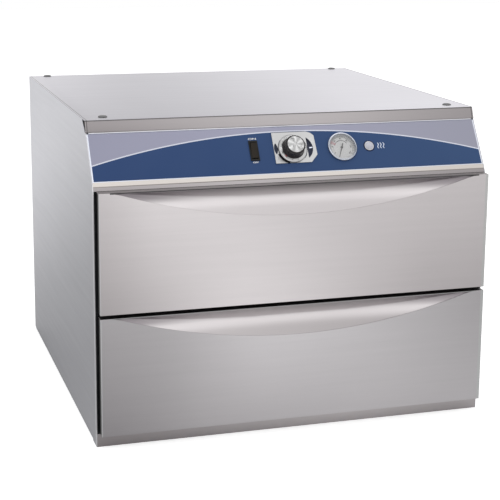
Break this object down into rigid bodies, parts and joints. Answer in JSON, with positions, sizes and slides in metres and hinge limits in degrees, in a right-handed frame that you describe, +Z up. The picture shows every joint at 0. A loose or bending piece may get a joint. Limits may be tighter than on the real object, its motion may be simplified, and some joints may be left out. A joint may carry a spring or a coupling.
{
  "type": "countertop warming drawer",
  "caption": "Countertop warming drawer: brushed steel cabinet with insulated drawers on roller slides under a slanted panel with rocker switch, thermostat knob, thermometer and pilot lamp.",
  "frame": {"origin": "on the counter, under the middle of the whole appliance", "axes": "+X to the right of someone facing the drawers, +Y from the drawer fronts to the rear, +Z up"},
  "size_m": [0.624, 0.6478, 0.4882],
  "materials": {
    "stainless": "brushed",
    "inner_steel": "mill",
    "pan_steel": "satin",
    "plain_steel": "plain",
    "overlay": "printed film",
    "bezel": "satin silver",
    "satin_metal": "satin",
    "bright_metal": "bright",
    "knob_black": "semi-gloss",
    "black_plastic": "satin",
    "needle_black": "matt",
    "dial_white": "printed",
    "lens": "clear",
    "lamp": "frosted",
    "gasket": "matt",
    "insulation": "mineral wool",
    "cable": "silicone",
    "copper": "drawn tube",
    "nylon": "moulded",
    "ceramic": "moulded"
  },
  "bodies": {
    "casing": {"top_cover": "stainless", "left_side_panel": "stainless", "right_side_panel": "stainless", "rear_panel": "stainless", "base_pan": "plain_steel", "base_front_strip": "stainless", "front_frame": "stainless", "control_panel": "stainless", "control_overlay": "overlay", "bezel_plate": "bezel", "cavity_liner": "inner_steel", "left_insulation": "insulation", "right_insulation": "insulation", "base_insulation": "insulation", "roof_insulation": "insulation", "rear_insulation": "insulation", "heating_cable": "cable", "top_plugs": "black_plastic", "thermostat_body": "plain_steel", "thermostat_sensor": "copper", "rocker_housing": "black_plastic", "thermometer_case": "bright_metal", "thermometer_dial": "dial_white", "thermometer_lens": "lens", "thermometer_sensor": "copper", "lamp_body": "bright_metal", "lamp_lens": "lamp", "terminal_block": "ceramic", "cord_bushing": "black_plastic", "casing_screws": "plain_steel", "upper_rails": "plain_steel", "lower_rails": "plain_steel"},
    "knob": {"knob_shaft": "plain_steel", "knob_dial": "satin_metal", "knob_grip": "knob_black", "knob_cap": "satin_metal"},
    "rocker": {"rocker_button": "black_plastic"},
    "needle": {"thermometer_needle": "needle_black"},
    "upper_drawer": {"upper_drawer_face": "stainless", "upper_finger_pull": "stainless", "upper_drawer_insulation": "insulation", "upper_inner_panel": "inner_steel", "upper_gasket": "gasket", "upper_runners": "plain_steel", "upper_drawer_frame": "plain_steel", "upper_pan": "pan_steel"},
    "upper_front_roller_pair": {"upper_front_rollers": "nylon"},
    "upper_rear_roller_pair": {"upper_rear_rollers": "nylon"},
    "lower_drawer": {"lower_drawer_face": "stainless", "lower_finger_pull": "stainless", "lower_drawer_insulation": "insulation", "lower_inner_panel": "inner_steel", "lower_gasket": "gasket", "lower_runners": "plain_steel", "lower_drawer_frame": "plain_steel", "lower_pan": "pan_steel"},
    "lower_front_roller_pair": {"lower_front_rollers": "nylon"},
    "lower_rear_roller_pair": {"lower_rear_rollers": "nylon"}
  },
  "joints": [
    {"name": "upper_drawer_slide", "type": "slide", "parent": "casing", "child": "upper_drawer", "axis": [0, -1, 0], "range_m": [0, 0.44]},
    {"name": "upper_front_roller_turn", "type": "hinge", "parent": "casing", "child": "upper_front_roller_pair", "pos_m": [0, -0.2689, 0.30533], "axis": [1, 0, 0], "range_deg": [0, 2101]},
    {"name": "upper_rear_roller_turn", "type": "hinge", "parent": "upper_drawer", "child": "upper_rear_roller_pair", "pos_m": [0, 0.2421, 0.30533], "axis": [1, 0, 0], "range_deg": [0, 2101]},
    {"name": "lower_drawer_slide", "type": "slide", "parent": "casing", "child": "lower_drawer", "axis": [0, -1, 0], "range_m": [0, 0.44]},
    {"name": "lower_front_roller_turn", "type": "hinge", "parent": "casing", "child": "lower_front_roller_pair", "pos_m": [0, -0.2689, 0.11901], "axis": [1, 0, 0], "range_deg": [0, 2101]},
    {"name": "lower_rear_roller_turn", "type": "hinge", "parent": "lower_drawer", "child": "lower_rear_roller_pair", "pos_m": [0, 0.2421, 0.11901], "axis": [1, 0, 0], "range_deg": [0, 2101]},
    {"name": "knob_turn", "type": "hinge", "parent": "casing", "child": "knob", "pos_m": [0.0005, -0.27438, 0.43414], "axis": [0, -0.8368, 0.5476], "range_deg": [-285, 0]},
    {"name": "rocker_tip", "type": "hinge", "parent": "casing", "child": "rocker", "pos_m": [-0.0605, -0.27229, 0.43277], "axis": [1, 0, 0], "range_deg": [-12, 0]},
    {"name": "needle_swing", "type": "hinge", "parent": "casing", "child": "needle", "pos_m": [0.081, -0.27438, 0.43414], "axis": [0, -0.8368, 0.5476], "range_deg": [-250, 0], "stiffness_Nm_per_rad": 0.0005}
  ],
  "couplings": [
    {"joint": "upper_front_roller_turn", "follows": "upper_drawer_slide", "rad_per_m": 83.333},
    {"joint": "upper_rear_roller_turn", "follows": "upper_drawer_slide", "rad_per_m": 83.333},
    {"joint": "lower_front_roller_turn", "follows": "lower_drawer_slide", "rad_per_m": 83.333},
    {"joint": "lower_rear_roller_turn", "follows": "lower_drawer_slide", "rad_per_m": 83.333}
  ]
}
